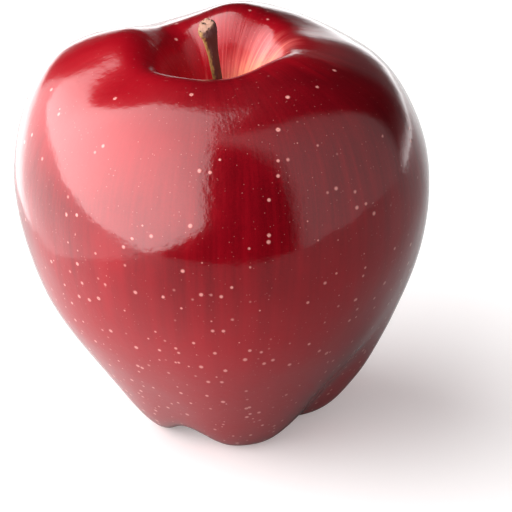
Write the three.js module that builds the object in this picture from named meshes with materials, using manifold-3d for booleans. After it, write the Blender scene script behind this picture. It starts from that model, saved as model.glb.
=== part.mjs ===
// A fresh apple standing on its lobes: one solid fruit with a stem cavity on top and a calyx
// basin underneath, its woody stem, five dried sepals and the dried stamens between them.
// Millimetres. +Z up along the core, -Y is the front, the ground is z = 0.
import * as THREE from "three";
import { mergeVertices } from "three/addons/utils/BufferGeometryUtils.js";
import Module from "manifold-3d";

const wasm = await Module();
wasm.setup();

// ---- Fruit: the mean section ------------------------------------------------------------
const FRUIT_HEIGHT = 78;        // ground to the rim of the stem cavity, before the swells
const FRUIT_RADIUS = 40.3;      // at the widest level
const WIDEST_LEVEL = 47;        // height of the widest level
const CAVITY_DEPTH = 20;        // rim of the stem cavity to its floor
const CAVITY_RIM_RADIUS = 14.6;
const CAVITY_SHIFT = new THREE.Vector2(-1.6, -0.8); // the rim sits off the core's axis
const BASIN_DEPTH = 10;         // ground to the floor of the calyx basin
const FOOT_RADIUS = 14.4;       // circle that the lobes' tips stand on
const FOOT_TRIM = 0.3;          // depth pressed flat at each tip that reaches the ground
const STEM_SEAT_MARGIN = 0.8;   // nearly level part of the floor, around the stem
const STEM_SEAT_RISE = 0.35;

const AROUND = 64;              // facets around the core
const RINGS = 42;               // facets along the section

// ---- Fruit: lobes and creases at the base -----------------------------------------------
// azimuth: degrees from the front towards +X. tip: height above the ground at the foot circle.
// rib: share of the radius gained along the flank. cheek: radius gained just above the base.
const LOBES = [
  { azimuth: 14, tip: 0.0, rib: 0.04, cheek: -0.8 },
  { azimuth: 92, tip: 0.9, rib: 0.0, cheek: 3.0 },
  { azimuth: 158, tip: 0.0, rib: 0.04, cheek: 0.5 },
  { azimuth: 230, tip: 0.0, rib: 0.05, cheek: 1.5 },
  { azimuth: 293, tip: 0.0, rib: 0.02, cheek: -1.8 },
];
// One crease after each lobe above, in the same order.
const CREASES = [
  { azimuth: 60, tip: 1.8, rib: -0.045, cheek: -0.2 },
  { azimuth: 124, tip: 4.0, rib: -0.05, cheek: -1.0 },
  { azimuth: 194, tip: 4.0, rib: -0.05, cheek: -1.0 },
  { azimuth: 260, tip: 4.8, rib: -0.09, cheek: -2.5 },
  { azimuth: 331, tip: 3.4, rib: -0.05, cheek: 1.0 },
];
const CREASE_SHARPNESS = 3;

// ---- Fruit: swells and hollows of the shoulders -----------------------------------------
// spread: half-width in degrees. lift: height gained at the rim. push: radius gained.
const SWELLS = [
  { azimuth: 262, spread: 34, lift: 2.4, push: 1.0 },
  { azimuth: 204, spread: 26, lift: -1.9, push: 1.5 },
  { azimuth: 300, spread: 18, lift: -0.8, push: -0.4 },
  { azimuth: 50, spread: 32, lift: 2.4, push: 1.2 },
  { azimuth: 103, spread: 25, lift: 1.2, push: -1.8 },
  { azimuth: 170, spread: 30, lift: 3.3, push: 0.0 },
];

// ---- Stem, sepals and stamens -----------------------------------------------------------
const GAP = 0.3;                // kept between neighbouring pieces
const STEM_LENGTH = 25.3;
const STEM_RADIUS = 1.0;        // along the lower half
const STEM_BASE_RADIUS = 1.5;   // where it grows out of the cavity's floor
const STEM_KNOB_RADIUS = 1.75;  // at the cut end
const STEM_LEAN = new THREE.Vector2(-3.7, 0.6); // how far the cut end leans
const STEM_CUT_SLANT = new THREE.Vector2(0.35, 0.55); // rise of the cut face per millimetre

const SEPAL_COUNT = 5;
const SEPAL_LENGTH = 5.0;
const SEPAL_RING_RADIUS = 2.7;  // where the sepals are rooted
const SEPAL_WIDTH = SEPAL_RING_RADIUS - 0.1; // leaves a gap between neighbours at the root
const SEPAL_THICKNESS = 0.5;
const SEPAL_CURL = 2.6;         // how far the tips curl outwards

const STAMEN_COUNT = 6;
const STAMEN_LENGTH = 3.2;
const STAMEN_RADIUS = 0.26;
const STAMEN_SPREAD = 0.75;     // how far the tips stand off the core's axis
const TUFT_RADIUS = 1.1;        // of the knot that the stamens grow from

const cavityFloor = FRUIT_HEIGHT - CAVITY_DEPTH;

// ---- Small helpers ----------------------------------------------------------------------
const radians = THREE.MathUtils.degToRad;
const ramp = (low, high, x) => THREE.MathUtils.smoothstep(x, low, high);

/** The signed difference of two azimuths in degrees, between -180 and 180. */
const turnBetween = (a, b) => THREE.MathUtils.euclideanModulo(a - b + 180, 360) - 180;

/** Moves each vertex of a geometry by a function that changes it in place. */
function shapeVertices(geometry, change) {
  const position = geometry.attributes.position;
  const v = new THREE.Vector3();
  for (let i = 0; i < position.count; i++) {
    change(v.fromBufferAttribute(position, i));
    position.setXYZ(i, v.x, v.y, v.z);
  }
  return geometry;
}

/** A closed manifold solid from a three.js geometry, with its faces outwards. */
function solid(geometry) {
  const bare = geometry.clone();
  bare.deleteAttribute("normal");
  bare.deleteAttribute("uv");
  const merged = mergeVertices(bare, 1e-4);
  const p = merged.attributes.position;
  const index = merged.index ?? [...Array(p.count).keys()];
  const corners = [];
  for (let i = 0; i < index.count; i += 3) {
    const [a, b, c] = [index.getX(i), index.getX(i + 1), index.getX(i + 2)];
    if (a !== b && b !== c && c !== a) corners.push(a, b, c);
  }
  const at = (i) => new THREE.Vector3().fromBufferAttribute(p, i);
  let volume = 0;
  for (let i = 0; i < corners.length; i += 3) {
    volume += at(corners[i]).dot(at(corners[i + 1]).cross(at(corners[i + 2])));
  }
  if (volume < 0) {
    for (let i = 0; i < corners.length; i += 3) {
      [corners[i], corners[i + 1]] = [corners[i + 1], corners[i]];
    }
  }
  const mesh = new wasm.Mesh({
    numProp: 3,
    vertProperties: new Float32Array(p.array),
    triVerts: new Uint32Array(corners),
  });
  return new wasm.Manifold(mesh);
}

/** A three.js geometry from a manifold solid. */
function geometryOf(body) {
  const mesh = body.getMesh();
  const geometry = new THREE.BufferGeometry();
  geometry.setAttribute("position", new THREE.BufferAttribute(mesh.vertProperties, 3));
  geometry.setIndex(new THREE.BufferAttribute(mesh.triVerts, 1));
  geometry.computeVertexNormals();
  return geometry;
}

// ---- The fruit --------------------------------------------------------------------------
/** The mean section, from the cavity's floor over the rim and down to the basin's floor. */
function sectionPoints() {
  const side = (share, level) => new THREE.Vector2(FRUIT_RADIUS * share, level);
  const cavity = (share, rise) =>
    new THREE.Vector2(CAVITY_RIM_RADIUS * share, cavityFloor + CAVITY_DEPTH * rise);
  const basin = (share, rise) => new THREE.Vector2(FOOT_RADIUS * share, BASIN_DEPTH * rise);
  const drop = FRUIT_HEIGHT - WIDEST_LEVEL;
  return [
    new THREE.Vector2(0, cavityFloor),
    new THREE.Vector2(STEM_BASE_RADIUS + STEM_SEAT_MARGIN, cavityFloor + STEM_SEAT_RISE),
    cavity(0.36, 0.29),
    cavity(0.56, 0.67),
    cavity(1.0, 1.0),
    side(0.54, FRUIT_HEIGHT - 0.5),
    side(0.83, WIDEST_LEVEL + drop * 0.8),
    side(0.98, WIDEST_LEVEL + drop * 0.44),
    side(1.0, WIDEST_LEVEL),
    side(0.905, WIDEST_LEVEL * 0.68),
    side(0.73, WIDEST_LEVEL * 0.39),
    side(0.49, WIDEST_LEVEL * 0.08),
    basin(1.0, 0.0),
    basin(0.8, 0.24),
    basin(0.54, 0.66),
    basin(0.23, 0.93),
    basin(0, 1.0),
  ];
}

/** Blended lobe and crease values at an azimuth in degrees. */
function lobing(azimuth) {
  const count = LOBES.length;
  for (let i = 0; i < count; i++) {
    const lobe = LOBES[i];
    const next = LOBES[(i + 1) % count];
    const crease = CREASES[i];
    const along = THREE.MathUtils.euclideanModulo(azimuth - lobe.azimuth, 360);
    const toCrease = THREE.MathUtils.euclideanModulo(crease.azimuth - lobe.azimuth, 360);
    const toNext = THREE.MathUtils.euclideanModulo(next.azimuth - lobe.azimuth, 360);
    if (along >= toNext) continue;
    const half = along < toCrease
      ? (0.5 * along) / toCrease
      : 0.5 + (0.5 * (along - toCrease)) / (toNext - toCrease);
    const depth = Math.sin(Math.PI * half) ** CREASE_SHARPNESS;
    const near = half < 0.5 ? lobe : next;
    const blend = (key) => THREE.MathUtils.lerp(near[key], crease[key], depth);
    return { tip: blend("tip"), rib: blend("rib"), cheek: blend("cheek") };
  }
  return { tip: 0, rib: 0, cheek: 0 };
}

/** Summed swell values at an azimuth in degrees. */
function swelling(azimuth) {
  const sum = { lift: 0, push: 0 };
  for (const swell of SWELLS) {
    const share = Math.exp(-((turnBetween(azimuth, swell.azimuth) / swell.spread) ** 2));
    sum.lift += swell.lift * share;
    sum.push += swell.push * share;
  }
  return sum;
}

/** Turns a point of the mean body into the real, lobed body, in place. */
function lobeFruit(v) {
  const h = FRUIT_HEIGHT;
  const w = FRUIT_RADIUS;
  const radius = Math.hypot(v.x, v.y);
  const azimuth = THREE.MathUtils.radToDeg(Math.atan2(v.x, -v.y));
  const { tip, rib, cheek } = lobing(azimuth);
  const { lift, push } = swelling(azimuth);
  const offAxis = ramp(0.05 * w, 0.35 * w, radius);
  const low = 1 - ramp(0.025 * h, 0.33 * h, v.z);
  const flank = 1 - ramp(0.08 * h, 0.64 * h, v.z);
  const cheekBand = (1 - ramp(0.1 * h, 0.44 * h, v.z)) * ramp(0.2 * w, 0.5 * w, radius);
  const top = ramp(0.64 * h, 0.97 * h, v.z);
  const shoulder = ramp(0.32 * h, 0.77 * h, v.z) * ramp(0.2 * w, 0.65 * w, radius);
  const grown = radius * (1 + flank * offAxis * rib) + shoulder * push + cheekBand * cheek;
  const inner = ramp(0.64 * h, h, v.z) * (1 - ramp(0.35 * w, 0.9 * w, radius));
  const turn = radians(azimuth);
  v.set(
    grown * Math.sin(turn) + inner * CAVITY_SHIFT.x,
    -grown * Math.cos(turn) + inner * CAVITY_SHIFT.y,
    v.z + low * offAxis * tip + top * offAxis * lift,
  );
}

function fruitSolid() {
  const section = new THREE.SplineCurve(sectionPoints()).getPoints(RINGS);
  section[0].x = 0;
  section[RINGS].x = 0;
  const lathe = new THREE.LatheGeometry(section, AROUND).rotateX(Math.PI / 2);
  shapeVertices(lathe, lobeFruit);
  lathe.translate(0, 0, -FOOT_TRIM);
  const ground = new THREE.BoxGeometry(4 * FRUIT_RADIUS, 4 * FRUIT_RADIUS, 20);
  ground.translate(0, 0, -10);
  return solid(lathe).subtract(solid(ground));
}

// ---- The stem ---------------------------------------------------------------------------
/** Where the stem's centre line is at a share of its length. */
function stemOffset(share) {
  return STEM_LEAN.clone().multiplyScalar(0.35 * share + 0.65 * share * share);
}

function stemSolid() {
  const outline = new THREE.SplineCurve([
    new THREE.Vector2(STEM_BASE_RADIUS, 0),
    new THREE.Vector2(STEM_BASE_RADIUS * 0.8, 0.04),
    new THREE.Vector2(STEM_RADIUS, 0.14),
    new THREE.Vector2(STEM_RADIUS * 0.96, 0.36),
    new THREE.Vector2(STEM_RADIUS * 1.02, 0.58),
    new THREE.Vector2(STEM_RADIUS * 1.12, 0.78),
    new THREE.Vector2(STEM_KNOB_RADIUS * 0.92, 0.9),
    new THREE.Vector2(STEM_KNOB_RADIUS, 0.96),
    new THREE.Vector2(STEM_KNOB_RADIUS * 0.84, 1.0),
  ]).getPoints(22);
  const closed = [new THREE.Vector2(0, 0), ...outline, new THREE.Vector2(0, 1.0)];
  const lathe = new THREE.LatheGeometry(closed, 14).rotateX(Math.PI / 2);
  shapeVertices(lathe, (v) => {
    const share = v.z;
    const shift = stemOffset(share);
    const rise = STEM_CUT_SLANT.dot(v) - 0.25 * STEM_KNOB_RADIUS;
    v.z = share * STEM_LENGTH + ramp(0.86, 1.0, share) * rise;
    v.x += shift.x;
    v.y += shift.y;
  });
  return solid(lathe.translate(0, 0, cavityFloor - FOOT_TRIM + GAP));
}

// ---- The dried calyx --------------------------------------------------------------------
const calyxRoot = BASIN_DEPTH - FOOT_TRIM - GAP;

/** One dried sepal: a tapering blade that hangs from the basin's floor and curls outwards. */
function sepalSolid(index) {
  const blade = new THREE.BoxGeometry(SEPAL_WIDTH, SEPAL_THICKNESS, 1, 4, 1, 8);
  const turn = (index / SEPAL_COUNT) * 2 * Math.PI + radians(20);
  const reach = SEPAL_CURL * (1 + 0.15 * Math.sin(2.3 * index));
  shapeVertices(blade, (v) => {
    const share = v.z + 0.5;
    const across = v.x * (1 - 0.8 * share ** 1.4);
    const cupped = 0.18 * across * across;
    const thick = v.y * (1 - 0.35 * share);
    v.set(across, -(SEPAL_RING_RADIUS + reach * share ** 2 + thick - cupped), 0);
    v.z = calyxRoot - 0.9 - SEPAL_LENGTH * (share - 0.22 * share * share);
  });
  return solid(blade.rotateZ(turn));
}

/** The knot of dried stamens, joined into one solid. */
function stamenSolid() {
  const knot = new THREE.SplineCurve([
    new THREE.Vector2(0, calyxRoot),
    new THREE.Vector2(TUFT_RADIUS, calyxRoot - 0.7),
    new THREE.Vector2(TUFT_RADIUS * 0.8, calyxRoot - 1.8),
    new THREE.Vector2(0, calyxRoot - 2.4),
  ]).getPoints(9);
  knot[0].x = 0;
  knot[9].x = 0;
  let tuft = solid(new THREE.LatheGeometry(knot, 12).rotateX(Math.PI / 2));
  const thread = new THREE.Shape();
  for (let i = 0; i < 6; i++) {
    const angle = (i / 6) * 2 * Math.PI;
    const point = [STAMEN_RADIUS * Math.cos(angle), STAMEN_RADIUS * Math.sin(angle)];
    if (i) thread.lineTo(...point);
    else thread.moveTo(...point);
  }
  thread.closePath();
  for (let i = 0; i < STAMEN_COUNT; i++) {
    const angle = (i / STAMEN_COUNT) * 2 * Math.PI + 0.4;
    const out = new THREE.Vector3(Math.sin(angle), -Math.cos(angle), 0);
    const at = (radius, drop) =>
      out.clone().multiplyScalar(radius).setZ(calyxRoot - 1.5 - drop * STAMEN_LENGTH);
    const path = new THREE.CatmullRomCurve3([
      at(0.45, 0),
      at(0.55 + 0.4 * STAMEN_SPREAD, 0.45),
      at(0.5 + STAMEN_SPREAD, 0.85 + 0.15 * Math.sin(3 * i)),
    ]);
    const filament = new THREE.ExtrudeGeometry(thread, { steps: 4, extrudePath: path });
    const anther = new THREE.SphereGeometry(STAMEN_RADIUS * 1.7, 6, 4);
    anther.translate(...path.getPoint(1).toArray());
    tuft = tuft.add(solid(filament)).add(solid(anther));
  }
  return tuft;
}

// ---- The finished object ----------------------------------------------------------------
const group = new THREE.Group();
group.name = "apple";

const finishes = {
  skin: { color: 0x9a0f1c, roughness: 0.25, metalness: 0 },
  wood: { color: 0x6a4426, roughness: 0.8, metalness: 0 },
  dried: { color: 0x6b5136, roughness: 0.9, metalness: 0 },
};

const pieces = [
  ["fruit", fruitSolid(), finishes.skin],
  ["stem", stemSolid(), finishes.wood],
  ...Array.from({ length: SEPAL_COUNT }, (_, i) => [
    `sepal_${i + 1}`, sepalSolid(i), finishes.dried,
  ]),
  ["stamens", stamenSolid(), finishes.dried],
];

// The object's box is centred over the origin.
const box = new THREE.Box3().setFromBufferAttribute(geometryOf(pieces[0][1]).attributes.position);
const centre = box.getCenter(new THREE.Vector3());

for (const [name, body, finish] of pieces) {
  const geometry = geometryOf(body).translate(-centre.x, -centre.y, 0);
  const mesh = new THREE.Mesh(geometry, new THREE.MeshStandardMaterial(finish));
  mesh.name = name;
  group.add(mesh);
}

export default group;
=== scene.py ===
"""A fresh red apple on a white studio table: fruit, stem, dried calyx, light and camera."""

import logging
import math
from dataclasses import dataclass
from enum import Enum
from functools import reduce

import bmesh
import bpy
from mathutils import Matrix, Vector, kdtree, noise


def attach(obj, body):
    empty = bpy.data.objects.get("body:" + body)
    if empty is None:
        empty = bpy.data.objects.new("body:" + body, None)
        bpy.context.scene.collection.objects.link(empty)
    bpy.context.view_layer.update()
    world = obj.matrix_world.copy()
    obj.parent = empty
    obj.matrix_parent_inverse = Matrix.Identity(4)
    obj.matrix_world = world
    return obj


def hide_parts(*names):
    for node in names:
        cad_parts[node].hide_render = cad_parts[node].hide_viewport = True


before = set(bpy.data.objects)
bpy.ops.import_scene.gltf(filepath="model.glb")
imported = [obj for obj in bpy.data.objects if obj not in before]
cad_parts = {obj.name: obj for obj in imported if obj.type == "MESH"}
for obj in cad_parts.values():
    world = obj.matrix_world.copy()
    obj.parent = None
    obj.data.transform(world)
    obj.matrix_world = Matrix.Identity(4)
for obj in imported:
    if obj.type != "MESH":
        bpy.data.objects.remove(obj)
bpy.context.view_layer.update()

MM = 0.001
BODY = "root"
CURVE_STEPS = 800
log = logging.getLogger("apple")

Colour = tuple[float, float, float]
# A ramp goes from its first number to its second, and gives its third up to its fourth.
Ramp = tuple[float, float, float, float]


# --------------------------------------------------------------------------- small helpers
def smooth(low: float, high: float, value: float) -> float:
    """Return 0 below low, 1 above high, and a smooth step between them."""
    t = min(max((value - low) / (high - low), 0.0), 1.0)
    return t * t * (3 - 2 * t)


def spline(points: list[tuple[float, float]], share: float) -> Vector:
    """Return a point on a smooth curve through the given points.

    Args:
        points: the radius and height pairs that the curve passes through.
        share: where along the curve, from 0 at the first point to 1 at the last.

    Returns:
        The point as a two-part vector.
    """
    last = len(points) - 1
    place = share * last
    i = min(int(place), last - 1)
    t = place - i
    a, b, c, d = (Vector(points[min(max(i + k, 0), last)]) for k in (-1, 0, 1, 2))
    return 0.5 * (
        2 * b + (c - a) * t + (2 * a - 5 * b + 4 * c - d) * t**2 + (3 * b - a - 3 * c + d) * t**3
    )


def even_steps(points: list[tuple[float, float]], count: int) -> list[Vector]:
    """Return count + 1 points evenly spaced along the smooth curve through points."""
    fine = [spline(points, i / CURVE_STEPS) for i in range(CURVE_STEPS + 1)]
    reached = [0.0]
    for a, b in zip(fine, fine[1:]):
        reached.append(reached[-1] + (b - a).length)
    steps, k = [], 0
    for i in range(count + 1):
        want = reached[-1] * i / count
        while k < CURVE_STEPS - 1 and reached[k + 1] < want:
            k += 1
        run = reached[k + 1] - reached[k]
        steps.append(fine[k].lerp(fine[k + 1], (want - reached[k]) / run if run else 0.0))
    return steps


def turned(section: list[Vector], around: int) -> bmesh.types.BMesh:
    """Spin a section about Z into a closed surface.

    Args:
        section: radius and height pairs; the first and the last lie on the axis.
        around: how many steps the full turn takes.

    Returns:
        A new mesh, in the section's units, with its normals outwards.
    """
    bm = bmesh.new()
    chain = [bm.verts.new((p[0], 0, p[1])) for p in section]
    for a, b in zip(chain, chain[1:]):
        bm.edges.new((a, b))
    bmesh.ops.spin(
        bm, geom=bm.verts[:] + bm.edges[:], cent=(0, 0, 0), axis=(0, 0, 1), dvec=(0, 0, 0),
        angle=math.tau, steps=around, use_merge=True, use_duplicate=False,
    )
    bmesh.ops.remove_doubles(bm, verts=bm.verts[:], dist=1e-5)
    bmesh.ops.recalc_face_normals(bm, faces=bm.faces[:])
    return bm


def closed(outline: list[tuple[float, float]], rows: int, around: int) -> bmesh.types.BMesh:
    """Spin a smooth curve through an outline that starts and ends on the axis.

    Args:
        outline: radius and height pairs.
        rows: how many even steps the curve takes.
        around: how many steps the full turn takes.

    Returns:
        A new closed mesh, in the outline's units.
    """
    section = even_steps(outline, rows)
    section[0].x = section[-1].x = 0.0
    return turned(section, around)


def to_object(bm: bmesh.types.BMesh, name: str, material: bpy.types.Material) -> bpy.types.Object:
    """Make a smooth-shaded object from a mesh in millimetres, and free the mesh."""
    bmesh.ops.transform(bm, matrix=Matrix.Scale(MM, 4), verts=bm.verts[:])
    data = bpy.data.meshes.new(name)
    for face in bm.faces:
        face.smooth = True
    bm.to_mesh(data)
    bm.free()
    data.materials.append(material)
    made = bpy.data.objects.new(name, data)
    bpy.context.scene.collection.objects.link(made)
    return made


def refine(piece: bpy.types.Object, levels: int) -> None:
    """Add a Subdivision modifier that is as fine in the viewport as in a render."""
    modifier = piece.modifiers.new("Refine", "SUBSURF")
    modifier.levels = modifier.render_levels = levels


def hand_over(piece: bpy.types.Object, nodes: list[str]) -> None:
    """Register a finished piece with the frame and report it."""
    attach(piece, BODY)
    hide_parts(*nodes)
    log.info("%s: %d faces, stands for %s", piece.name, len(piece.data.polygons), ", ".join(nodes))


# --------------------------------------------------------------------------- node materials
class Nodes:
    """A node tree, built one named step at a time."""

    def __init__(self, tree: bpy.types.NodeTree) -> None:
        """Keep the tree that the steps go into."""
        self.tree = tree

    def feed(self, socket: bpy.types.NodeSocket, value) -> None:
        """Link a socket to another, or set its constant."""
        if isinstance(value, bpy.types.NodeSocket):
            self.tree.links.new(value, socket)
        elif value is not None:
            socket.default_value = value

    def node(self, kind: str, inputs: dict | None = None, **settings) -> bpy.types.Node:
        """Add a node.

        Args:
            kind: the node's type without its "ShaderNode" prefix.
            inputs: input names or indices, with a socket or a constant for each.
            settings: the node's own properties.

        Returns:
            The new node.
        """
        made = self.tree.nodes.new("ShaderNode" + kind)
        for key, value in settings.items():
            setattr(made, key, value)
        for key, value in (inputs or {}).items():
            self.feed(made.inputs[key], value)
        return made

    def scaled(self, vector, by) -> bpy.types.NodeSocket:
        """Return a vector multiplied by a number or by a vector."""
        factor = by if isinstance(by, tuple) else (by, by, by)
        return self.node("VectorMath", {0: vector, 1: factor}, operation="MULTIPLY").outputs[0]

    def math(self, operation: str, a, b=None) -> bpy.types.NodeSocket:
        """Return the result of a math operation on one or two values."""
        return self.node("Math", {0: a, 1: b}, operation=operation).outputs[0]

    def add(self, a, b) -> bpy.types.NodeSocket:
        """Return the sum of two values."""
        return self.math("ADD", a, b)

    def times(self, *values) -> bpy.types.NodeSocket:
        """Return the product of two or more values."""
        return reduce(lambda a, b: self.math("MULTIPLY", a, b), values)

    def weighted(self, *terms: tuple) -> bpy.types.NodeSocket:
        """Return the sum of values, each multiplied by its weight."""
        return reduce(self.add, [self.times(value, weight) for value, weight in terms])

    def swing(self, value, by: float) -> bpy.types.NodeSocket:
        """Return how far a noise value is from its middle, multiplied by a number."""
        return self.times(self.math("SUBTRACT", value, 0.5), by)

    def parts(self, vector) -> tuple:
        """Return the three parts of a vector."""
        return tuple(self.node("SeparateXYZ", {0: vector}).outputs)

    def dot(self, a, b) -> bpy.types.NodeSocket:
        """Return the dot product of two vectors."""
        return self.node("VectorMath", {0: a, 1: b}, operation="DOT_PRODUCT").outputs["Value"]

    def remap(self, value, low, high, to_low=0.0, to_high=1.0) -> bpy.types.NodeSocket:
        """Return value smoothly remapped from low..high to to_low..to_high."""
        inputs = {0: value, 1: low, 2: high, 3: to_low, 4: to_high}
        return self.node("MapRange", inputs, interpolation_type="SMOOTHSTEP").outputs[0]

    def noise(self, vector, scale, detail=2.0, roughness=0.5) -> bpy.types.NodeSocket:
        """Return a noise value between about 0.2 and 0.8."""
        inputs = {"Vector": vector, "Scale": scale, "Detail": detail, "Roughness": roughness}
        return self.node("TexNoise", inputs).outputs[0]

    def cells(self, vector, scale) -> tuple[bpy.types.NodeSocket, bpy.types.NodeSocket]:
        """Return the distance to the nearest cell point and that cell's random colour."""
        made = self.node("TexVoronoi", {"Vector": vector, "Scale": scale})
        return made.outputs["Distance"], made.outputs["Color"]

    def mix(self, share, a, b) -> bpy.types.NodeSocket:
        """Return colour a turned into colour b by a share."""
        made = self.node("Mix", data_type="RGBA")
        self.feed(made.inputs[0], share)
        for socket, value in ((made.inputs[6], a), (made.inputs[7], b)):
            self.feed(socket, (*value, 1.0) if isinstance(value, tuple) else value)
        return made.outputs[2]


class Shade(Nodes):
    """A material with one Principled shader."""

    def __init__(self, name: str) -> None:
        """Start the material."""
        self.material = bpy.data.materials.new(name)
        self.material.use_nodes = True
        super().__init__(self.material.node_tree)
        self.surface = self.tree.nodes["Principled BSDF"]

    def millimetres(self) -> bpy.types.NodeSocket:
        """Return the object's own coordinates in millimetres."""
        place = self.node("TexCoord").outputs["Object"]
        return self.scaled(place, 1 / MM)

    def attribute(self, name: str, output: str = "Fac") -> bpy.types.NodeSocket:
        """Return a value that is stored on the mesh."""
        return self.node("Attribute", attribute_name=name).outputs[output]

    def bump(self, height, strength: float) -> bpy.types.NodeSocket:
        """Return a normal bent by a height in millimetres."""
        return self.node("Bump", {"Strength": strength, "Distance": MM, "Height": height}).outputs[0]

    def paint(self, values: dict) -> None:
        """Feed the surface's inputs, each by its name."""
        for name, value in values.items():
            self.feed(self.surface.inputs[name], value)


# --------------------------------------------------------------------------- the fruit
@dataclass(frozen=True)
class Lobe:
    """One basal lobe, or the crease after it.

    azimuth is in degrees from the front towards +X, tip the height above the ground at the
    foot circle, rib a share of radius gained on the flank, cheek radius gained at the base.
    """

    azimuth: float
    tip: float
    rib: float
    cheek: float


@dataclass(frozen=True)
class Swell:
    """A swell or hollow of the shoulders: its place, half-width, height and reach."""

    azimuth: float
    spread: float
    lift: float
    push: float


@dataclass(frozen=True)
class FruitShape:
    """The fruit's outer surface, in millimetres, with the core on the Z axis."""

    height: float = 78.0
    radius: float = 40.3
    widest: float = 47.0
    cavity_depth: float = 20.0
    rim_radius: float = 14.6
    cavity_shift: tuple[float, float] = (-1.6, -0.8)
    basin_depth: float = 10.0
    foot_radius: float = 14.4
    foot_trim: float = 0.3
    sharpness: float = 3.0
    lobes: tuple[Lobe, ...] = (
        Lobe(14, 0.0, 0.04, -0.8),
        Lobe(92, 0.9, 0.0, 3.0),
        Lobe(158, 0.0, 0.04, 0.5),
        Lobe(230, 0.0, 0.05, 1.5),
        Lobe(293, 0.0, 0.02, -1.8),
    )
    creases: tuple[Lobe, ...] = (
        Lobe(60, 1.8, -0.045, -0.2),
        Lobe(124, 4.0, -0.05, -1.0),
        Lobe(194, 4.0, -0.05, -1.0),
        Lobe(260, 4.8, -0.09, -2.5),
        Lobe(331, 3.4, -0.05, 1.0),
    )
    swells: tuple[Swell, ...] = (
        Swell(262, 34, 2.4, 1.0),
        Swell(204, 26, -1.9, 1.5),
        Swell(300, 18, -0.8, -0.4),
        Swell(50, 32, 2.4, 1.2),
        Swell(103, 25, 1.2, -1.8),
        Swell(170, 30, 3.3, 0.0),
    )
    # Each wave is a height and a length. Each furrow is a height, how closely such furrows
    # stand round the core, and how fast they change along the section.
    waves: tuple[tuple[float, float], ...] = ((0.16, 13), (0.05, 5))
    furrows: tuple[tuple[float, float, float], ...] = ((0.06, 5, 0.02), (0.03, 13, 0.03))
    furrows_rise: tuple[float, float] = (3, 14)
    furrows_fade: tuple[float, float] = (26, 55)

    @property
    def cavity_floor(self) -> float:
        """Return the height of the stem cavity's floor."""
        return self.height - self.cavity_depth

    def section(self) -> list[tuple[float, float]]:
        """Return the mean section, from the cavity's floor over the rim to the basin."""
        r, w, f, b = self.radius, self.widest, self.foot_radius, self.basin_depth
        drop, floor = self.height - w, self.cavity_floor
        return [
            (0.0, floor),
            (2.3, floor + 0.35),
            (self.rim_radius * 0.36, floor + self.cavity_depth * 0.29),
            (self.rim_radius * 0.56, floor + self.cavity_depth * 0.67),
            (self.rim_radius, self.height),
            (r * 0.54, self.height - 0.5),
            (r * 0.83, w + drop * 0.8),
            (r * 0.98, w + drop * 0.44),
            (r, w),
            (r * 0.905, w * 0.68),
            (r * 0.73, w * 0.39),
            (r * 0.49, w * 0.08),
            (f, 0.0),
            (f * 0.8, b * 0.24),
            (f * 0.54, b * 0.66),
            (f * 0.23, b * 0.93),
            (0.0, b),
        ]

    def lobing(self, azimuth: float) -> tuple[float, float, float]:
        """Return the blended tip, rib and cheek at an azimuth in degrees."""
        for i, (lobe, crease) in enumerate(zip(self.lobes, self.creases)):
            following = self.lobes[(i + 1) % len(self.lobes)]
            along = (azimuth - lobe.azimuth) % 360
            to_crease = (crease.azimuth - lobe.azimuth) % 360
            to_next = (following.azimuth - lobe.azimuth) % 360
            if along >= to_next:
                continue
            if along < to_crease:
                half, near = 0.5 * along / to_crease, lobe
            else:
                half = 0.5 + 0.5 * (along - to_crease) / (to_next - to_crease)
                near = following
            d = abs(math.sin(math.pi * half)) ** self.sharpness
            return (
                near.tip + (crease.tip - near.tip) * d,
                near.rib + (crease.rib - near.rib) * d,
                near.cheek + (crease.cheek - near.cheek) * d,
            )
        return 0.0, 0.0, 0.0

    def swelling(self, azimuth: float) -> tuple[float, float]:
        """Return the summed lift and push of the shoulders at an azimuth."""
        lift = push = 0.0
        for swell in self.swells:
            off = (azimuth - swell.azimuth + 180) % 360 - 180
            share = math.exp(-((off / swell.spread) ** 2))
            lift += swell.lift * share
            push += swell.push * share
        return lift, push

    def lobed(self, p: Vector) -> Vector:
        """Return where a point of the mean, round body lies on the real, lobed one."""
        h, w = self.height, self.radius
        radius = math.hypot(p.x, p.y)
        turn = math.atan2(p.x, -p.y)
        azimuth = math.degrees(turn) % 360
        tip, rib, cheek = self.lobing(azimuth)
        lift, push = self.swelling(azimuth)

        def up(start: float, end: float) -> float:
            """Return a step between two shares of the height."""
            return smooth(start * h, end * h, p.z)

        def out(start: float, end: float) -> float:
            """Return a step between two shares of the radius."""
            return smooth(start * w, end * w, radius)

        off_axis = out(0.05, 0.35)
        low = 1 - up(0.025, 0.33)
        flank = 1 - up(0.08, 0.64)
        band = (1 - up(0.1, 0.44)) * out(0.2, 0.5)
        top = up(0.64, 0.97)
        shoulder = up(0.32, 0.77) * out(0.2, 0.65)
        inner = up(0.64, 1.0) * (1 - out(0.35, 0.9))
        grown = radius * (1 + flank * off_axis * rib) + shoulder * push + band * cheek
        return Vector((
            grown * math.sin(turn) + inner * self.cavity_shift[0],
            -grown * math.cos(turn) + inner * self.cavity_shift[1],
            p.z + low * off_axis * tip + top * off_axis * lift - self.foot_trim,
        ))


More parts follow.
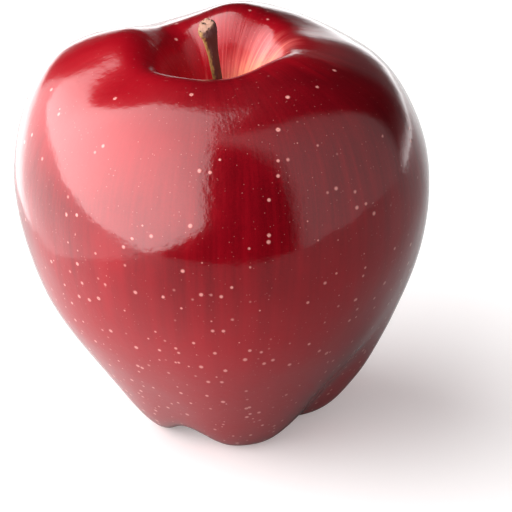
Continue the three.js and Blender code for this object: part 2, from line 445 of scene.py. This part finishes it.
@dataclass(frozen=True)
class SkinFinish:
    """Colours of the waxy red skin, where they change over, its gloss and its relief.

    Places along the section are millimetres from the cavity's floor, sides are the sine of the
    azimuth, from -1 on the left to 1 on the right, and relief is in millimetres.
    """

    # The darkest red is painted shade for the upper right. The ripest red is the brighter red low down
    # and round the hollow, and painted light on the upper left.
    painted_shade_red: Colour = (0.055, 0.0008, 0.003)
    deep: Colour = (0.105, 0.0008, 0.0035)
    red: Colour = (0.190, 0.0014, 0.006)
    bright: Colour = (0.310, 0.0035, 0.010)
    ripe_and_lit_red: Colour = (0.400, 0.003, 0.011)
    blush: Colour = (0.900, 0.200, 0.180)
    russet: Colour = (0.950, 0.500, 0.240)
    glint: Colour = (1.000, 0.030, 0.045)
    # Over the whole fruit: the base and the lower right turn a brighter red; the upper left gets
    # painted light and the upper right painted shade, as if lit from the left.
    base_brightening: Ramp = (58.0, 96.0, 0.0, 0.8)
    upper: Ramp = (64.0, 46.0, 0.0, 1.0)
    lower: Ramp = (50.0, 80.0, 0.0, 1.0)
    painted_light_left: Ramp = (0.1, -0.8, 0.0, 0.70)
    painted_shade_right: Ramp = (0.0, 0.7, 0.0, 0.4)
    lower_right_brightening: Ramp = (0.2, 0.9, 0.0, 0.5)
    zone_ragged: float = 24.0
    # In the hollow round the stem, and reaching further out of it on the right.
    hollow_ripe: Ramp = (30.0, 19.0, 0.0, 0.7)
    hollow_blush: Ramp = (19.0, 9.0, 0.0, 0.9)
    hollow_russet: Ramp = (14.0, 5.0, 0.0, 0.95)
    hollow_ragged: float = 16.0
    hollow_tilt: float = 10.0
    roughness: float = 0.30
    ior: float = 1.45
    coat: Ramp = (17.0, 26.0, 0.12, 1.0)
    coat_roughness: float = 0.09
    coat_ior: float = 1.62
    wrinkle: Ramp = (40.0, 16.0, 0.008, 0.10)
    peel: float = 0.022
    fine: float = 0.005
    proud_spot: float = 0.015


@dataclass(frozen=True)
class SpotPattern:
    """The pale spots, in millimetres, and how much of what is under them they cover."""

    spot: Colour = (0.820, 0.330, 0.300)
    core: Colour = (0.300, 0.130, 0.060)
    cell: float = 1.80
    grade: float = 0.33
    smallest: float = 0.6
    largest: float = 1.6
    crowding: Ramp = (50.0, 115.0, 0.11, 0.90)
    edge: Ramp = (1.1, 0.45, 0.0, 1.0)
    cover: float = 0.9
    pit: Ramp = (0.4, 0.15, 0.0, 1.0)
    unpitted: float = 0.90
    pit_cover: float = 0.6
    speck_cell: float = 1.1
    speck: Ramp = (0.12, 0.05, 0.0, 0.35)


class SkinMaps:
    """The patterns that the skin's colours and relief are made from."""

    def __init__(self, s: Shade) -> None:
        """Add the patterns to a material."""
        self.place = s.millimetres()
        self.arc = s.attribute("arc")
        grain = s.attribute("grain", "Vector")
        self.side = s.parts(grain)[0]
        self.streak = s.noise(s.scaled(grain, (14, 14, 2.2)), 1.0, 5.0, 0.62)
        self.hair = s.noise(s.scaled(grain, (55, 55, 5.0)), 1.0, 3.0, 0.6)
        self.mottle = s.noise(self.place, 0.055, 3.0)
        self.peel = s.noise(self.place, 0.85, 2.0)
        self.grit = s.noise(self.place, 2.6, 2.0)


class Fruit:
    """The fruit: one body with a stem cavity, a calyx basin and five basal lobes."""

    AROUND = 144
    RINGS = 96

    def __init__(self, shape: FruitShape, finish: SkinFinish, pattern: SpotPattern) -> None:
        """Keep the shape, the finish and the pattern of the spots."""
        self.shape = shape
        self.finish = finish
        self.pattern = pattern
        self.centre = Vector((0, 0, 0))

    def uneven(self, p: Vector, arc: float, grain: Vector) -> float:
        """Return how far the skin stands proud of the smooth shape, in millimetres.

        Args:
            p: the point on the smooth shape.
            arc: its distance along the section from the cavity's floor.
            grain: its direction from the axis, as stored on the mesh.

        Returns:
            The height of the slight waviness and of the furrows round the cavity.
        """
        s = self.shape
        total = sum(height * noise.noise(p / length) for height, length in s.waves)
        window = smooth(*s.furrows_rise, arc) * (1 - smooth(*s.furrows_fade, arc))
        for height, close, change in s.furrows:
            place = Vector((grain.x * close, -grain.y * close, arc * change))
            total += window * height * noise.noise(place)
        return total

    def build(self) -> bpy.types.Object:
        """Build the body.

        Returns:
            The finished fruit, standing on the ground and centred over the origin.
        """
        shape = self.shape
        section = even_steps(shape.section(), self.RINGS)
        section[0].x = section[-1].x = 0.0
        bm = turned(section, self.AROUND)
        step = sum((b - a).length for a, b in zip(section, section[1:])) / self.RINGS
        grain = bm.verts.layers.float_vector.new("grain")
        along = bm.verts.layers.float.new("arc")
        rows = kdtree.KDTree(len(section))
        for i, point in enumerate(section):
            rows.insert((point.x, 0, point.y), i)
        rows.balance()
        for v in bm.verts:
            _, row, _ = rows.find((math.hypot(v.co.x, v.co.y), 0, v.co.z))
            turn = math.atan2(v.co.x, -v.co.y)
            v[along] = row * step
            v[grain] = (math.sin(turn), -math.cos(turn), row * step / 100)
            v.co = shape.lobed(v.co)
        bm.normal_update()
        for v in bm.verts:
            v.co += v.normal * self.uneven(v.co, v[along], v[grain])
            v.co.z = max(v.co.z, 0.0)
        low = [min(v.co[i] for v in bm.verts) for i in (0, 1)]
        high = [max(v.co[i] for v in bm.verts) for i in (0, 1)]
        self.centre = Vector(((low[0] + high[0]) / 2, (low[1] + high[1]) / 2, 0))
        bmesh.ops.translate(bm, verts=bm.verts[:], vec=-self.centre)
        fruit = to_object(bm, "apple_fruit", self.skin())
        refine(fruit, 1)
        hand_over(fruit, ["fruit"])
        return fruit

    def skin(self) -> bpy.types.Material:
        """Return the skin: streaked reds, painted light and shade, pale spots, blush in the hollows,
        waxy gloss.
        """
        f, s = self.finish, Shade("waxy_skin")
        m = SkinMaps(s)
        colour = self.hollows(s, m, self.zones_and_painted_light(s, m, self.reds(s, m)))
        colour, dots = self.spots(s, m, colour)
        wrinkle = s.times(m.streak, s.remap(m.arc, *f.wrinkle))
        height = s.weighted(
            (m.peel, f.peel), (wrinkle, 1.0), (m.hair, f.fine), (m.grit, f.fine), (dots, f.proud_spot),
        )
        normal = s.bump(height, 1.0)
        s.paint({
            "Base Color": colour,
            "Roughness": f.roughness,
            "IOR": f.ior,
            "Specular IOR Level": 1.0,
            "Specular Tint": (*f.glint, 1.0),
            "Coat Weight": s.remap(m.arc, *f.coat),
            "Coat Roughness": f.coat_roughness,
            "Coat IOR": f.coat_ior,
            "Normal": normal,
            "Coat Normal": normal,
        })
        return s.material

    def reds(self, s: Shade, m: SkinMaps) -> bpy.types.NodeSocket:
        """Return the skin's own colour: reds in clouds, streaks, hairs and grit."""
        f = self.finish
        tone = s.weighted((m.streak, 0.35), (m.mottle, 0.65), (m.grit, 0.40))
        colour = s.mix(s.remap(tone, 0.46, 0.88), f.deep, f.red)
        lively = s.times(s.remap(m.mottle, 0.52, 0.68), s.remap(m.streak, 0.40, 0.62), 0.55)
        colour = s.mix(lively, colour, f.bright)
        return s.mix(s.remap(m.hair, 0.35, 0.75, 0.0, 0.30), colour, f.bright)

    def zones_and_painted_light(self, s: Shade, m: SkinMaps, colour) -> bpy.types.NodeSocket:
        """Return a colour brightened towards the base and lower right, with painted light on the upper
        left and painted shade on the upper right.
        """
        f = self.finish
        uneven = s.add(m.arc, s.swing(m.streak, f.zone_ragged))
        upper, lower = s.remap(uneven, *f.upper), s.remap(uneven, *f.lower)
        # The skin turns a brighter red towards the base.
        colour = s.mix(s.remap(uneven, *f.base_brightening), colour, f.ripe_and_lit_red)
        # Painted light on the upper left, and painted shade on the upper right, as if lit from the
        # left.
        colour = s.mix(s.times(upper, s.remap(m.side, *f.painted_light_left)), colour, f.ripe_and_lit_red)
        colour = s.mix(s.times(upper, s.remap(m.side, *f.painted_shade_right)), colour, f.painted_shade_red)
        # The lower right turns a brighter red.
        return s.mix(s.times(lower, s.remap(m.side, *f.lower_right_brightening)), colour, f.ripe_and_lit_red)

    def hollows(self, s: Shade, m: SkinMaps, colour) -> bpy.types.NodeSocket:
        """Return a colour that gives way to blush and then russet towards the stem."""
        f = self.finish
        ragged = s.add(m.arc, s.swing(m.streak, f.hollow_ragged))
        ragged = s.math("SUBTRACT", ragged, s.times(m.side, f.hollow_tilt))
        changes = ((f.hollow_ripe, f.ripe_and_lit_red), (f.hollow_blush, f.blush), (f.hollow_russet, f.russet))
        for ramp, tint in changes:
            colour = s.mix(s.remap(ragged, *ramp), colour, tint)
        return colour

    def spots(self, s: Shade, m: SkinMaps, colour) -> tuple:
        """Lay the pale spots over a colour.

        Args:
            s: the material being built.
            m: its patterns.
            colour: the colour beneath the spots.

        Returns:
            The spotted colour, and the spots' cover from 0 to 1.
        """
        q = self.pattern
        distance, chance = s.cells(m.place, 1 / q.cell)
        draws = s.node("SeparateColor", {0: chance}).outputs
        kept = s.math("LESS_THAN", draws[0], s.remap(m.arc, *q.crowding))
        sizes = (q.grade * q.smallest / q.cell, q.grade * q.largest / q.cell)
        ratio = s.math("DIVIDE", distance, s.remap(draws[1], 0.0, 1.0, *sizes))
        dot = s.times(s.remap(ratio, *q.edge), kept)
        colour = s.mix(s.times(dot, q.cover), colour, q.spot)
        pitted = s.math("GREATER_THAN", draws[2], q.unpitted)
        pit = s.times(s.remap(ratio, *q.pit), pitted, kept, q.pit_cover)
        colour = s.mix(pit, colour, q.core)
        speck, _ = s.cells(m.place, 1 / q.speck_cell)
        return s.mix(s.remap(speck, *q.speck), colour, q.spot), dot


# --------------------------------------------------------------------------- the stem
@dataclass(frozen=True)
class StemShape:
    """The stem's sizes in millimetres, as the frame has them."""

    length: float = 25.3
    radius: float = 1.0
    base_radius: float = 1.5
    knob_radius: float = 1.75
    lean: tuple[float, float] = (-3.7, 0.6)
    slant: tuple[float, float] = (0.35, 0.55)
    gap: float = 0.3
    ridge: float = 0.13
    lump: float = 0.10
    chipped: float = 0.35


@dataclass(frozen=True)
class BarkFinish:
    """Colours of the stem's bark, whose dark also serves as painted shade, and of its cut end."""

    dark: Colour = (0.075, 0.012, 0.010)
    tan: Colour = (0.420, 0.220, 0.060)
    olive: Colour = (0.200, 0.150, 0.035)
    cut: Colour = (0.420, 0.215, 0.150)
    pit: Colour = (0.040, 0.015, 0.010)


class Stem:
    """The woody stem with its swollen, cut end."""

    AROUND = 40
    RINGS = 110

    def __init__(self, shape: StemShape, finish: BarkFinish, floor: float) -> None:
        """Keep the sizes, the finish and the height of the cavity's floor."""
        self.shape = shape
        self.finish = finish
        self.floor = floor

    def outline(self) -> list[tuple[float, float]]:
        """Return the section, with heights as shares of the length."""
        s = self.shape
        return [
            (0.0, 0.0),
            (s.base_radius * 0.6, 0.0),
            (s.base_radius, 0.01),
            (s.base_radius * 0.8, 0.05),
            (s.radius, 0.14),
            (s.radius * 0.96, 0.36),
            (s.radius * 1.02, 0.58),
            (s.radius * 1.12, 0.78),
            (s.knob_radius * 0.92, 0.90),
            (s.knob_radius, 0.955),
            (s.knob_radius * 0.86, 0.995),
            (s.knob_radius * 0.45, 1.0),
            (0.0, 1.0),
        ]

    def build(self, centre: Vector) -> bpy.types.Object:
        """Build the stem.

        Args:
            centre: what the whole object was moved by, to be taken off here too.

        Returns:
            The finished stem.
        """
        s = self.shape
        bm = closed([(r, h * s.length) for r, h in self.outline()], self.RINGS, self.AROUND)
        cut = bm.verts.layers.float.new("cut")
        painted_lit_side = bm.verts.layers.float.new("painted_lit_side")
        for v in bm.verts:
            share = v.co.z / s.length
            radius = math.hypot(v.co.x, v.co.y)
            turn = math.atan2(v.co.y, v.co.x)
            side = Vector((math.cos(turn), math.sin(turn), 0))
            ridge = noise.noise(Vector((side.x * 2.4, side.y * 2.4, share * 3.0)))
            lump = noise.noise(Vector((side.x * 1.3, side.y * 1.3, share * 9.0)))
            end = smooth(0.985, 0.999, share) * (1 - smooth(0.7, 1.05, radius / s.knob_radius))
            v[cut] = end
            # Painted light and shade: lighter on the stem's left, darker on its right front, as if lit
            # from the left.
            v[painted_lit_side] = 0.5 - 0.5 * (side.x * 0.9 - side.y * 0.43)
            if radius > 1e-4:
                grow = 1 + (s.ridge * ridge + s.lump * lump) * smooth(0, 0.5, radius / s.radius)
                v.co.x *= grow
                v.co.y *= grow
            knob = smooth(0.86, 1.0, share)
            grains = noise.noise(v.co * 1.3 + Vector((7, 3, 1)))
            rise = s.slant[0] * v.co.x + s.slant[1] * v.co.y - 0.25 * s.knob_radius
            v.co.z += knob * rise + end * s.chipped * grains
            bent = 0.35 * share + 0.65 * share**2
            v.co.x += s.lean[0] * bent
            v.co.y += s.lean[1] * bent
        base = Vector((0, 0, self.floor + s.gap))
        bmesh.ops.translate(bm, verts=bm.verts[:], vec=base - centre)
        bm.normal_update()
        stem = to_object(bm, "apple_stem", self.bark())
        refine(stem, 1)
        hand_over(stem, ["stem"])
        return stem

    def bark(self) -> bpy.types.Material:
        """Return the bark: tan, olive and dark flakes over painted light and shade, and a pale, pitted
        cut end.
        """
        f, s = self.finish, Shade("stem_bark")
        place = s.millimetres()
        flakes = s.noise(s.scaled(place, (1.0, 1.0, 0.45)), 1.6, 5.0, 0.65)
        patches = s.noise(s.scaled(place, (1.0, 1.0, 0.3)), 0.7, 3.0)
        # Painted light and shade, broken by flakes: dark on the shaded side, tan or olive on the lit
        # side.
        lit = s.add(s.attribute("painted_lit_side"), s.swing(flakes, 1.2))
        woody = s.mix(s.remap(lit, 0.40, 0.72), f.dark, f.tan)
        mossy = s.mix(s.remap(lit, 0.4, 0.8), f.dark, f.olive)
        colour = s.mix(s.remap(patches, 0.45, 0.62, 0.0, 0.7), woody, mossy)
        end = s.attribute("cut")
        holes, _ = s.cells(place, 1.25)
        face = s.mix(s.remap(holes, 0.34, 0.20, 0.0, 0.95), f.cut, f.pit)
        sunk = s.times(s.remap(holes, 0.15, 0.4), end)
        s.paint({
            "Base Color": s.mix(end, colour, face),
            "Roughness": 0.62,
            "Normal": s.bump(s.weighted((flakes, 0.25), (sunk, 0.25)), 0.9),
        })
        return s.material


# --------------------------------------------------------------------------- the dried calyx
@dataclass(frozen=True)
class CalyxShape:
    """Sizes of the dried sepals and stamens in millimetres, drops measured from the root."""

    count: int = 5
    length: float = 5.0
    width: float = 2.6
    thickness: float = 0.35
    ring_radius: float = 2.7
    ring_turn: float = 20.0
    curl: float = 2.6
    cup: float = 0.18
    taper: float = 0.8
    crumple: float = 0.22
    sepal_drop: float = 0.9
    gap: float = 0.3
    tuft_radius: float = 1.1
    stamens: int = 6
    stamen_length: float = 3.2
    stamen_radius: float = 0.26
    stamen_stand: float = 0.45
    stamen_spread: float = 0.80
    stamen_drop: float = 1.5


@dataclass(frozen=True)
class DriedFinish:
    """Colours of the dried tissue."""

    dark: Colour = (0.060, 0.035, 0.018)
    pale: Colour = (0.330, 0.230, 0.110)


class Calyx:
    """Five dried sepals round a knot of dried stamens, in the basin underneath."""

    def __init__(self, shape: CalyxShape, finish: DriedFinish, root: float) -> None:
        """Keep the sizes, the finish and the height that the pieces hang from."""
        self.shape = shape
        self.root = root
        self.material = self.dried(finish)

    @staticmethod
    def dried(finish: DriedFinish) -> bpy.types.Material:
        """Return the dry, veined tissue."""
        s = Shade("dried_tissue")
        place = s.millimetres()
        veins = s.noise(s.scaled(place, (1.0, 1.0, 0.25)), 2.2, 4.0, 0.6)
        s.paint({
            "Base Color": s.mix(s.remap(veins, 0.35, 0.65), finish.dark, finish.pale),
            "Roughness": 0.8,
            "Normal": s.bump(s.times(veins, 0.3), 0.8),
        })
        return s.material

    def sepal(self, index: int, centre: Vector) -> bpy.types.Object:
        """Build one curled sepal.

        Args:
            index: which of the sepals, from 0.
            centre: what the whole object was moved by.

        Returns:
            The finished sepal.
        """
        s = self.shape
        bm = bmesh.new()
        bmesh.ops.create_grid(bm, x_segments=10, y_segments=20, size=0.5)
        turn = Matrix.Rotation(index / s.count * math.tau + math.radians(s.ring_turn), 4, "Z")
        reach = s.curl * (1 + 0.15 * math.sin(2.3 * index))
        for v in bm.verts:
            share, across = v.co.y + 0.5, v.co.x * s.width
            across *= 1 - s.taper * share**1.4
            crumple = s.crumple * noise.noise(Vector((across, share * 4, index * 5.0)))
            out = s.ring_radius + reach * share**2 - s.cup * across**2 + crumple
            hang = s.sepal_drop + s.length * (share - 0.22 * share**2)
            v.co = (across, -out, self.root - hang)
        bmesh.ops.solidify(bm, geom=bm.faces[:], thickness=s.thickness)
        bmesh.ops.transform(bm, matrix=Matrix.Translation(-centre) @ turn, verts=bm.verts[:])
        bmesh.ops.recalc_face_normals(bm, faces=bm.faces[:])
        piece = to_object(bm, f"apple_sepal_{index + 1}", self.material)
        refine(piece, 1)
        hand_over(piece, [f"sepal_{index + 1}"])
        return piece

    def stamen(self, drop: float, angle: float) -> bmesh.types.BMesh:
        """Build one dried stamen: a bent thread with a swollen end.

        Args:
            drop: its share of the full length.
            angle: the side that it leans to, in radians from the front.

        Returns:
            A new mesh in millimetres.
        """
        s = self.shape
        r, length = s.stamen_radius, drop * s.stamen_length
        outline = [
            (0.0, 0.0),
            (r, -0.1),
            (r * 0.8, -0.4 * length),
            (r * 0.75, -0.80 * length),
            (r * 1.5, -0.90 * length),
            (r * 1.6, -length),
            (0.0, -length - r),
        ]
        bm = closed(outline, rows=16, around=10)
        for v in bm.verts:
            share = min(-v.co.z / length, 1.0)
            stand = s.stamen_stand + s.stamen_spread * smooth(0, 1, share)
            v.co.x += math.sin(angle) * stand
            v.co.y -= math.cos(angle) * stand
            v.co.z += self.root - s.stamen_drop
        return bm

    def tuft(self, centre: Vector) -> bpy.types.Object:
        """Build the knot of stamens.

        Args:
            centre: what the whole object was moved by.

        Returns:
            The finished knot.
        """
        s = self.shape
        knot = [
            (0.0, self.root), (s.tuft_radius, self.root - 0.7),
            (s.tuft_radius * 0.8, self.root - 1.8), (0.0, self.root - 2.4),
        ]
        bm = closed(knot, rows=12, around=24)
        for i in range(s.stamens):
            angle = i / s.stamens * math.tau + 0.4
            thread = self.stamen(0.85 + 0.15 * math.sin(3 * i), angle)
            part = bpy.data.meshes.new("thread")
            thread.to_mesh(part)
            thread.free()
            bm.from_mesh(part)
            bpy.data.meshes.remove(part)
        bmesh.ops.translate(bm, verts=bm.verts[:], vec=-centre)
        piece = to_object(bm, "apple_stamens", self.material)
        hand_over(piece, ["stamens"])
        return piece

    def build(self, centre: Vector) -> None:
        """Build every sepal and the stamens."""
        for index in range(self.shape.count):
            self.sepal(index, centre)
        self.tuft(centre)


# --------------------------------------------------------------------------- the studio
class Side(Enum):
    """Where a luminous part of the studio stands, seen from the camera."""

    LEFT = "left"
    WALL = "wall on the left"
    RIGHT = "right"
    LOW_LEFT = "low left"
    BEHIND = "behind"


@dataclass(frozen=True)
class Panel:
    """A luminous panel of the studio, as it is seen from the fruit.

    edges are the outward normals of the planes through the fruit that bound the panel, glow is
    its brightness, grows how the brightness rises along a direction, and blur the softness of
    its edges, as the sine of an angle.
    """

    side: Side
    edges: tuple[tuple[float, float, float], ...]
    glow: float
    grows: tuple[float, float, float] = (0.0, 0.0, 0.0)
    blur: float = 0.03


@dataclass(frozen=True)
class Studio:
    """White table, luminous panels, soft fill and camera.

    The table, the board and the aim are in millimetres, the lamp and the camera in metres. The
    board is the part of the table that the fruit mirrors, as left, right, front and back; its
    colour is painted darker towards the front right, as painted light falloff.
    """

    panels: tuple[Panel, ...] = (
        Panel(Side.LEFT, ((0.98, -0.18, 0.059), (1.0, 0.0, 0.07), (1.0, -0.2, -0.3),
                          (0.594, 1.0, -0.45), (0.57, 0.76, -0.22), (0.1, 0.5, -1.0),
                          (0.66, -0.06, -1.0)), 1.95, (-1.4, -0.15, -0.1)),
        Panel(Side.WALL, ((0.98, -0.18, 0.059), (1.0, 0.0, 0.07), (1.0, -0.2, -0.3),
                          (0.9, 0.75, 0.1), (0.66, -0.06, -1.0)), 1.5),
        Panel(Side.LOW_LEFT, ((0.423, -0.906, 0.0), (-1.0, -1.0, 0.0), (0.1, 0.0, 1.0)), 2.5,
              blur=0.10),
        Panel(Side.RIGHT, ((-1.0, -0.676, -0.229), (-0.38, 0.92, 0.0)), 0.457,
              (0.0, -0.8, 0.0), 0.10),
        Panel(Side.BEHIND, ((0.0, 0.02, 1.0), (0.75, -0.66, 0.0), (-0.75, -0.66, 0.0)), 0.8),
    )
    table_size: float = 2500.0
    table_tone: float = 0.80
    lift: Colour = (0.308, 0.275, 0.275)
    board: tuple[float, float, float, float] = (-100.0, 400.0, -140.0, 600.0)
    board_drop: float = 0.2
    board_painted_falloff: tuple[float, float] = (0.22, 0.70)
    board_span: tuple[float, float] = (-120.0, 100.0)
    dusk: float = 0.006
    fill: float = 0.05
    lamp_way: tuple[float, float, float] = (0.45, 0.35, 0.85)
    lamp_size: float = 1.2
    lamp_distance: float = 1.2
    elevation: float = 24.5
    distance: float = 0.650
    lens: float = 231.6
    aim: tuple[float, float, float] = (6.8, -2.4, 35.3)

    def table(self) -> None:
        """Lay the white table that the eye sees, and that shadows fall on."""
        s = Shade("table_white")
        grain = s.remap(s.noise(s.millimetres(), 0.02, 2.0), 0.3, 0.7)
        tone = self.table_tone
        s.paint({
            "Base Color": s.mix(grain, (tone,) * 3, (tone * 0.99,) * 3),
            "Roughness": 0.75,
            "Specular IOR Level": 0.2,
            "Emission Color": (*self.lift, 1.0),
            "Emission Strength": 1.0,
        })
        bm = bmesh.new()
        bmesh.ops.create_grid(bm, x_segments=8, y_segments=8, size=self.table_size)
        top = to_object(bm, "table_top", s.material)
        top.visible_diffuse = top.visible_glossy = top.visible_shadow = False

    def underlight(self) -> None:
        """Lay the board that lights the fruit from below, with painted light falloff: brighter towards
        the back left.
        """
        s = Shade("board_white")
        low, high = self.board_painted_falloff
        x, y, _ = s.parts(s.millimetres())
        # Painted light falloff: brighter towards the back left, darker towards the front right.
        across = s.math("SUBTRACT", s.times(y, 0.8), x)
        painted_falloff = s.mix(s.remap(across, *self.board_span), (low,) * 3, (high,) * 3)
        s.paint({"Base Color": painted_falloff, "Roughness": 1.0, "Specular IOR Level": 0.0})
        left, right, front, back = self.board
        bm = bmesh.new()
        bmesh.ops.create_grid(bm, x_segments=4, y_segments=4, size=0.5)
        for v in bm.verts:
            v.co.x = left + (right - left) * (v.co.x + 0.5)
            v.co.y = front + (back - front) * (v.co.y + 0.5)
            v.co.z = -self.board_drop
        board = to_object(bm, "table_board", s.material)
        board.visible_camera = False

    def sky(self) -> None:
        """Surround the fruit with the luminous panels, dark between them, white to the eye."""
        world = bpy.data.worlds.new("studio")
        world.use_nodes = True
        world.node_tree.nodes.clear()
        n = Nodes(world.node_tree)
        ray = n.node("TexCoord").outputs["Generated"]
        way = n.node("VectorMath", {0: ray}, operation="NORMALIZE").outputs[0]
        total = self.dusk
        for panel in self.panels:
            glow = n.times(n.add(n.dot(way, panel.grows), 1.0), panel.glow)
            for edge in panel.edges:
                past = n.dot(way, tuple(Vector(edge).normalized()))
                glow = n.times(glow, n.remap(past, panel.blur, -panel.blur))
            total = n.math("MAXIMUM", glow, total)
            log.info("panel: %s, %d edges", panel.side.value, len(panel.edges))
        eye = n.node("LightPath").outputs["Is Camera Ray"]
        shown = n.node("Mix", {0: eye, 2: total, 3: 1.0}, data_type="FLOAT").outputs[0]
        back = n.node("Background", {"Color": (1, 1, 1, 1), "Strength": shown}).outputs[0]
        n.node("OutputWorld", {0: back})
        bpy.context.scene.world = world

    def lamp(self) -> None:
        """Hang a soft fill light above and behind, which leaves no reflection."""
        data = bpy.data.lights.new("fill", "AREA")
        data.size = self.lamp_size
        data.energy = self.fill * 4 * data.size**2
        light = bpy.data.objects.new("fill", data)
        away = Vector(self.lamp_way).normalized()
        light.location = away * self.lamp_distance
        light.rotation_euler = away.to_track_quat("Z", "Y").to_euler()
        light.visible_camera = light.visible_glossy = False
        bpy.context.scene.collection.objects.link(light)

    def camera(self) -> None:
        """Place the camera and choose how the picture is developed."""
        data = bpy.data.cameras.new("camera")
        data.lens = self.lens
        data.sensor_width = 36.0
        data.clip_start, data.clip_end = 0.01, 20.0
        made = bpy.data.objects.new("camera", data)
        tilt = math.radians(self.elevation)
        away = Vector((0, -math.cos(tilt), math.sin(tilt)))
        made.location = Vector(self.aim) * MM + away * self.distance
        made.rotation_euler = (math.pi / 2 - tilt, 0, 0)
        scene = bpy.context.scene
        scene.collection.objects.link(made)
        scene.camera = made
        scene.view_settings.view_transform = "Standard"
        scene.view_settings.look = "None"

    def build(self) -> None:
        """Set up the table, the light and the camera."""
        self.table()
        self.underlight()
        self.sky()
        self.lamp()
        self.camera()


# --------------------------------------------------------------------------- everything
def main() -> None:
    """Build the apple and its studio, in order."""
    logging.basicConfig(level=logging.INFO, format="%(name)s: %(message)s")
    shape = FruitShape()
    fruit = Fruit(shape, SkinFinish(), SpotPattern())
    fruit.build()
    Stem(StemShape(), BarkFinish(), shape.cavity_floor - shape.foot_trim).build(fruit.centre)
    calyx = CalyxShape()
    root = shape.basin_depth - shape.foot_trim - calyx.gap
    Calyx(calyx, DriedFinish(), root).build(fruit.centre)
    Studio().build()


if __name__ == "__main__":
    main()
